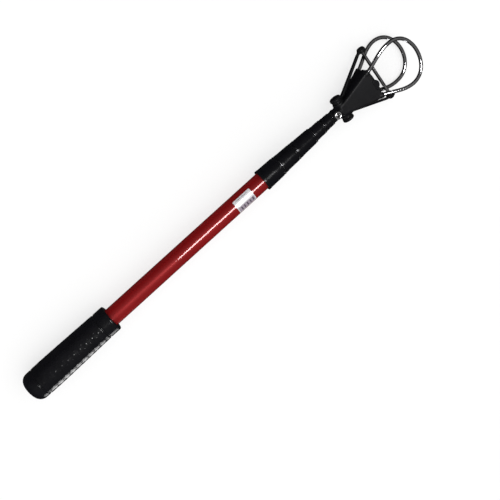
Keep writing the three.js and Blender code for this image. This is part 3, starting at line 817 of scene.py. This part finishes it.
def build_gate():
    """The swinging gate: two arms, the bar between them and a cap on each of its ends."""
    low, high = (-6.5, 7.7, -6.5), (62.5, 32, 6.5)
    for node, left in (("gate_arm_left", True), ("gate_arm_right", False)):
        arm = skin(f"moulded_{node}", lambda p: arm_field(p, left), low, high, 0.36)
        turn = Matrix.Rotation(0 if left else math.pi, 4, "X")
        arm.data.transform(GATE_PLACE @ turn)
        stand_in(arm, node, SATIN, 1.0)
    end = EYE_OUT
    profile = [(-end, 0), (-end, BAR / 2, 0.4), (end, BAR / 2, 0.4), (end, 0)]
    line = profile[:2] + [(x, BAR / 2) for x in np.linspace(-end + 1, end - 1, 12)] + profile[2:]
    bar = turned("round_gate_bar", line, 48, axis="Y", at=(GATE_LENGTH, 0, 0))
    bar.data.transform(GATE_PLACE)
    stand_in(bar, "gate_bar", CHROME, 0.0)
    start = end + FIT
    for node, side, radius in (("bar_cap_left", 1, 3.9), ("bar_cap_right", -1, 2.9)):
        profile = [(start, 0), (start, radius, 0.3), (start + 0.55, radius - 0.15, 0.5),
                   (start + 0.95, radius - 1.3, 0.5), (start + 1.1, radius - 2.4), (start + 1.1, 0)]
        cap = turned(f"domed_{node}", profile, 56, axis="Y", at=(GATE_LENGTH, 0, 0), flip=side < 0)
        cap.data.transform(GATE_PLACE)
        stand_in(cap, node, SATIN, 0.6)


# ---------- camera, lights and floor ----------
def build_camera():
    """The view from above the middle of the red tube, a little to its left."""
    eye = Vector((0.20227, 0.30041, 0.72941))
    right = Vector((0.737125, -0.587807, 0.333361))
    down = Vector((-0.672674, -0.685325, 0.278996))
    camera = bpy.data.objects.new("camera", bpy.data.cameras.new("camera"))
    bpy.context.scene.collection.objects.link(camera)
    camera.data.sensor_width = 36.0
    camera.data.lens = 56.7386
    camera.data.clip_start, camera.data.clip_end = 0.05, 50.0
    turn = Matrix((right, -down, right.cross(-down))).transposed().to_4x4()
    camera.matrix_world = Matrix.Translation(eye) @ turn
    bpy.context.scene.camera = camera


def soft_light(name, at, aim, size, watts):
    """A rectangular card of light that doesn't show to the camera or light the body colours."""
    light = bpy.data.lights.new(name, "AREA")
    light.shape = "RECTANGLE"
    light.size, light.size_y = size
    light.energy = watts
    lamp = bpy.data.objects.new(name, light)
    bpy.context.scene.collection.objects.link(lamp)
    at, aim = Vector(at), Vector(aim)
    lamp.matrix_world = Matrix.Translation(at) @ (aim - at).to_track_quat("-Z", "Y").to_matrix().to_4x4()
    lamp.visible_camera = lamp.visible_diffuse = False


def build_lights():
    """A wide soft overhead source for the body colours, and two cards that only show as reflections."""
    sun = bpy.data.lights.new("soft_sky", "SUN")
    sun.energy, sun.angle = 3.0, math.radians(150)
    sky = bpy.data.objects.new("soft_sky", sun)
    bpy.context.scene.collection.objects.link(sky)
    sky.matrix_world = Vector((0.05, -0.33, 0.94)).to_track_quat("Z", "Y").to_matrix().to_4x4()
    sky.visible_glossy = False
    soft_light("overhead_strip", at=(0.37, 0.05, 1.5), aim=(0.37, 0.05, 0.0), size=(0.38, 0.4), watts=19)
    soft_light("side_window", at=(-0.25, -1.5, -0.25), aim=(-0.25, 0, -0.25), size=(0.3, 0.78), watts=6)


def build_world():
    """A dim surround that gets brighter overhead, for the metal and the plastics to reflect."""
    world = bpy.data.worlds.new("studio")
    world.use_nodes = True
    tree = world.node_tree
    place = tree.nodes.new("ShaderNodeTexCoord")
    split = tree.nodes.new("ShaderNodeSeparateXYZ")
    rise = tree.nodes.new("ShaderNodeMapRange")
    for socket, value in (("From Min", 0.1), ("From Max", 0.9), ("To Min", 0.02), ("To Max", 0.24)):
        rise.inputs[socket].default_value = value
    tree.links.new(place.outputs["Generated"], split.inputs["Vector"])
    tree.links.new(split.outputs["Z"], rise.inputs["Value"])
    tree.links.new(rise.outputs["Result"], tree.nodes["Background"].inputs["Strength"])
    tree.nodes["Background"].inputs["Color"].default_value = (1.0, 0.985, 0.975, 1)
    bpy.context.scene.world = world


def build_stage():
    """A pale floor, and a pale backdrop far round it, neither of which shows in reflections."""
    low = cad_box[0]
    half, height = 9.0, 4.0  # metres
    white = (1, 1, 1, 1)
    points = [(-half, -half, 0), (half, -half, 0), (half, half, 0), (-half, half, 0)]
    floor = mesh_object("floor", np.array(points) / MM, [(0, 1, 2, 3)])
    floor.location = (0.2, 0, low.z - 0.0002)
    finish = Finish("floor_paper", 0.9, Specular_IOR_Level=0.1, Emission_Strength=0.7, Emission_Color=white)
    cloud = finish.noise(3, 3)
    finish.color(finish.mix(finish.spread(cloud, 0, 1), grey(0.29), grey(0.31)))
    floor.data.materials.append(finish.material)
    sides = 64
    angles = np.arange(sides) * 2 * math.pi / sides
    ring = np.column_stack([np.cos(angles), np.sin(angles)]) * half * 0.98
    points = np.concatenate([np.column_stack([ring, np.full(sides, z)]) for z in (low.z, height)])
    faces = [(j, (j + 1) % sides, sides + (j + 1) % sides, sides + j) for j in range(sides)]
    backdrop = mesh_object("backdrop", points / MM, faces)
    glow = Finish("backdrop_paper", 1.0, Emission_Strength=0.8, Emission_Color=white, Base_Color=(0, 0, 0, 1))
    backdrop.data.materials.append(glow.material)
    backdrop.visible_diffuse = backdrop.visible_shadow = False
    for thing in (floor, backdrop):
        thing.visible_glossy = False


def finish_carried_nodes():
    """CAD nodes that stay in view get a material with the same care."""
    carried = {"pivot_pin": CHROME, **{f"bush_{i}": NYLON for i in range(2, 7)}}
    for node, material in carried.items():
        thing = frame["nodes"][node]
        thing.data.materials.clear()
        thing.data.materials.append(material)


build_grip()
build_plug()
for i in range(6):
    build_tube(i)
for i in range(5):
    build_collar(i)
build_label()
build_loop("loop_upper", 1)
build_loop("loop_lower", -1)
build_head()
build_rivet()
build_gate()
finish_carried_nodes()
build_camera()
build_lights()
build_world()
build_stage()
bpy.context.scene.view_settings.view_transform = "Standard"
